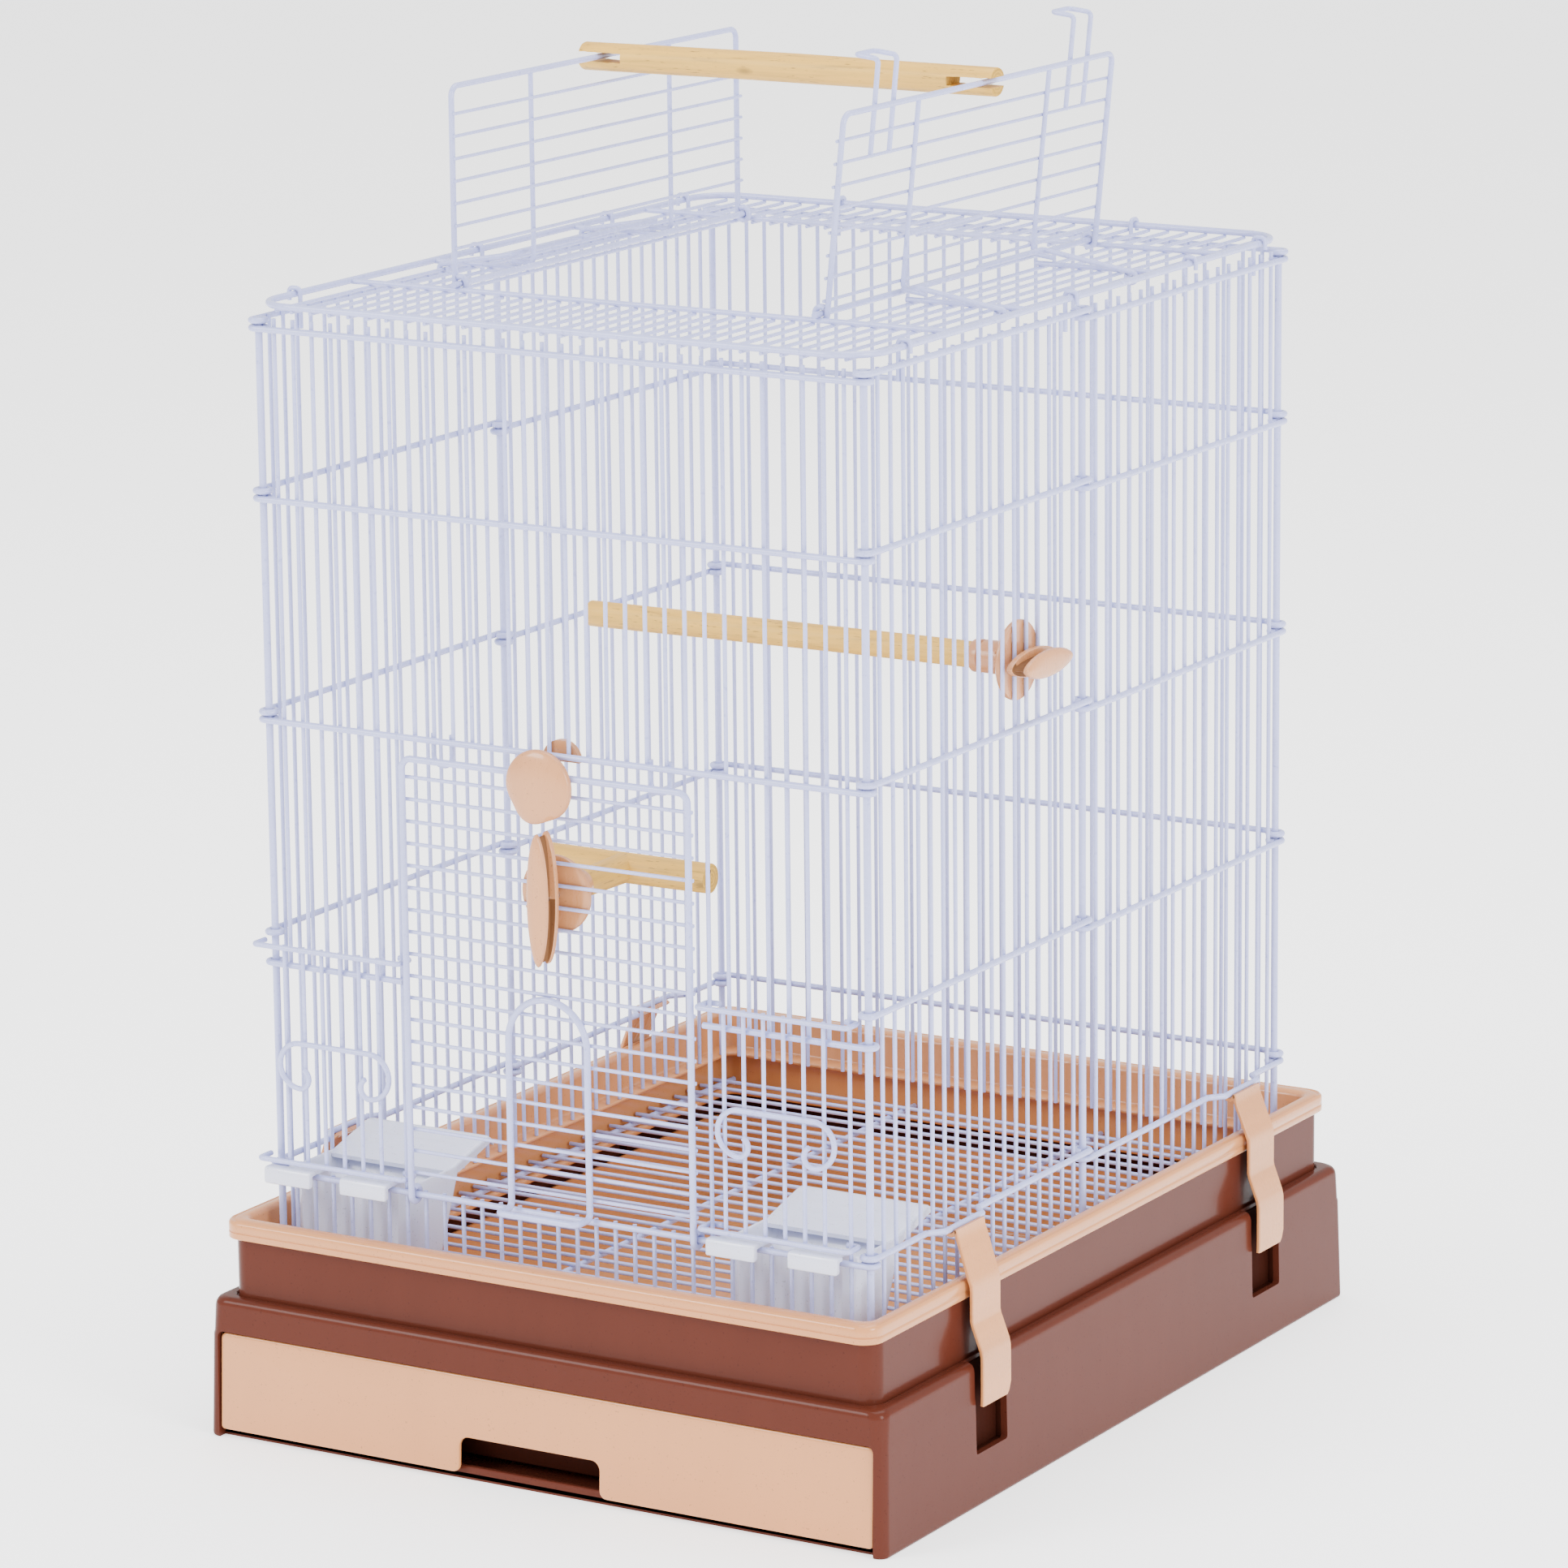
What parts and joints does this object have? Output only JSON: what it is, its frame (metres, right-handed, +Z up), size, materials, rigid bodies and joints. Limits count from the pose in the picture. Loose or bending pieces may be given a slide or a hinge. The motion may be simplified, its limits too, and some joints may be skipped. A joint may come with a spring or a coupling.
{
  "type": "bird cage",
  "caption": "Wire play-top bird cage on a plastic base with pull-out drawer, drop-down front door, lift-up feeder doors, hung cups, wood perches and roof flaps.",
  "frame": {"origin": "centre of the base's footprint, on the surface it stands on", "axes": "+Z up, -Y towards the front with the doors and the drawer, +X to the viewer's right of the front"},
  "size_m": [0.3774, 0.464, 0.6596],
  "materials": {
    "wire": "glossy",
    "base_plastic": "glossy",
    "tan_plastic": "glossy",
    "holder_plastic": "satin",
    "perch_wood": "matte",
    "bolt_steel": "satin",
    "cup_plastic": "glossy"
  },
  "bodies": {
    "base": {"base_shell": "base_plastic", "rim_collar": "tan_plastic", "grate_wires": "wire", "grate_frame": "wire"},
    "drawer": {"drawer": "tan_plastic"},
    "cage": {"corner_posts": "wire", "mid_posts": "wire", "front_bars": "wire", "front_rails": "wire", "back_bars": "wire", "back_rails": "wire", "left_front_bars": "wire", "left_front_rails": "wire", "left_rear_bars": "wire", "left_rear_rails": "wire", "right_front_bars": "wire", "right_front_rails": "wire", "right_rear_bars": "wire", "right_rear_rails": "wire", "door_stops": "wire", "lock_keeper": "holder_plastic", "roof_frame": "wire", "roof_bars": "wire", "roof_cross_wires": "wire", "flap_rods": "wire", "roof_clips": "wire", "upper_perch": "perch_wood", "upper_perch_flange": "holder_plastic", "upper_perch_bolt": "bolt_steel"},
    "upper_perch_nut": {"upper_perch_nut": "holder_plastic"},
    "front_door": {"door_frame": "wire", "door_wires": "wire", "door_arch": "wire", "door_perch": "perch_wood", "door_perch_flange": "holder_plastic", "door_perch_bolt": "bolt_steel", "door_lock_plate": "holder_plastic"},
    "door_perch_nut": {"door_perch_nut": "holder_plastic"},
    "door_knob": {"door_knob": "holder_plastic"},
    "feeder_left": {"feeder_left_frame": "wire", "feeder_left_bars": "wire", "feeder_left_scroll": "wire"},
    "feeder_right": {"feeder_right_frame": "wire", "feeder_right_bars": "wire", "feeder_right_scroll": "wire"},
    "cup_left": {"cup_left": "cup_plastic"},
    "cup_right": {"cup_right": "cup_plastic"},
    "clip_front_left": {"clip_front_left": "tan_plastic"},
    "clip_front_right": {"clip_front_right": "tan_plastic"},
    "clip_rear_left": {"clip_rear_left": "tan_plastic"},
    "clip_rear_right": {"clip_rear_right": "tan_plastic"},
    "flap_left": {"flap_left_frame": "wire", "flap_left_wires": "wire"},
    "flap_right": {"flap_right_frame": "wire", "flap_right_wires": "wire", "flap_right_hooks": "wire"},
    "stay_left": {"stay_left": "wire"},
    "stay_right": {"stay_right": "wire"},
    "top_perch": {"top_perch": "perch_wood"}
  },
  "joints": [
    {"name": "drawer_slide", "type": "slide", "parent": "base", "child": "drawer", "axis": [0, -1, 0], "range_m": [0, 0.3]},
    {"name": "cage_lift", "type": "slide", "parent": "base", "child": "cage", "axis": [0, 0, 1], "range_m": [0, 0.12]},
    {"name": "front_door_hinge", "type": "hinge", "parent": "cage", "child": "front_door", "pos_m": [-0.0055, -0.2039, 0.127], "axis": [1, 0, 0], "range_deg": [0, 90]},
    {"name": "door_perch_nut_spin", "type": "hinge", "parent": "front_door", "child": "door_perch_nut", "pos_m": [-0.002, -0.2073, 0.281], "axis": [0, -1, 0], "continuous": true},
    {"name": "door_knob_turn", "type": "hinge", "parent": "front_door", "child": "door_knob", "pos_m": [-0.0055, -0.2073, 0.3325], "axis": [0, -1, 0], "range_deg": [0, 180]},
    {"name": "upper_perch_nut_spin", "type": "hinge", "parent": "cage", "child": "upper_perch_nut", "pos_m": [0.166, -0.06, 0.38], "axis": [1, 0, 0], "continuous": true},
    {"name": "feeder_left_lift", "type": "slide", "parent": "cage", "child": "feeder_left", "axis": [0, 0, 1], "range_m": [0, 0.088]},
    {"name": "feeder_right_lift", "type": "slide", "parent": "cage", "child": "feeder_right", "axis": [0, 0, 1], "range_m": [0, 0.088]},
    {"name": "cup_left_tilt", "type": "hinge", "parent": "cage", "child": "cup_left", "pos_m": [-0.12375, -0.2039, 0.127], "axis": [1, 0, 0], "range_deg": [0, 20]},
    {"name": "cup_right_tilt", "type": "hinge", "parent": "cage", "child": "cup_right", "pos_m": [0.11625, -0.2039, 0.127], "axis": [1, 0, 0], "range_deg": [0, 20]},
    {"name": "clip_front_left_swing", "type": "hinge", "parent": "cage", "child": "clip_front_left", "pos_m": [-0.171, -0.1315, 0.1306], "axis": [0, 1, 0], "range_deg": [0, 120]},
    {"name": "clip_front_right_swing", "type": "hinge", "parent": "cage", "child": "clip_front_right", "pos_m": [0.171, -0.1315, 0.1306], "axis": [0, -1, 0], "range_deg": [0, 120]},
    {"name": "clip_rear_left_swing", "type": "hinge", "parent": "cage", "child": "clip_rear_left", "pos_m": [-0.171, 0.146, 0.127], "axis": [0, 1, 0], "range_deg": [0, 120]},
    {"name": "clip_rear_right_swing", "type": "hinge", "parent": "cage", "child": "clip_rear_right", "pos_m": [0.171, 0.146, 0.127], "axis": [0, -1, 0], "range_deg": [0, 120]},
    {"name": "flap_left_tilt", "type": "hinge", "parent": "cage", "child": "flap_left", "pos_m": [-0.1035, 0.0085, 0.5443], "axis": [0, 1, 0], "range_deg": [-1.5, 3]},
    {"name": "flap_right_tilt", "type": "hinge", "parent": "cage", "child": "flap_right", "pos_m": [0.092, 0.0085, 0.5443], "axis": [0, 1, 0], "range_deg": [-2.5, 1]},
    {"name": "stay_left_lift", "type": "hinge", "parent": "cage", "child": "stay_left", "pos_m": [-0.15225, 0.003, 0.5397], "axis": [0, -1, 0], "range_deg": [0, 90]},
    {"name": "stay_right_lift", "type": "hinge", "parent": "cage", "child": "stay_right", "pos_m": [0.15225, 0.003, 0.5397], "axis": [0, 1, 0], "range_deg": [0, 90]},
    {"name": "top_perch_slide", "type": "slide", "parent": "cage", "child": "top_perch", "axis": [0, 1, 0], "range_m": [-0.045, 0.045]}
  ]
}
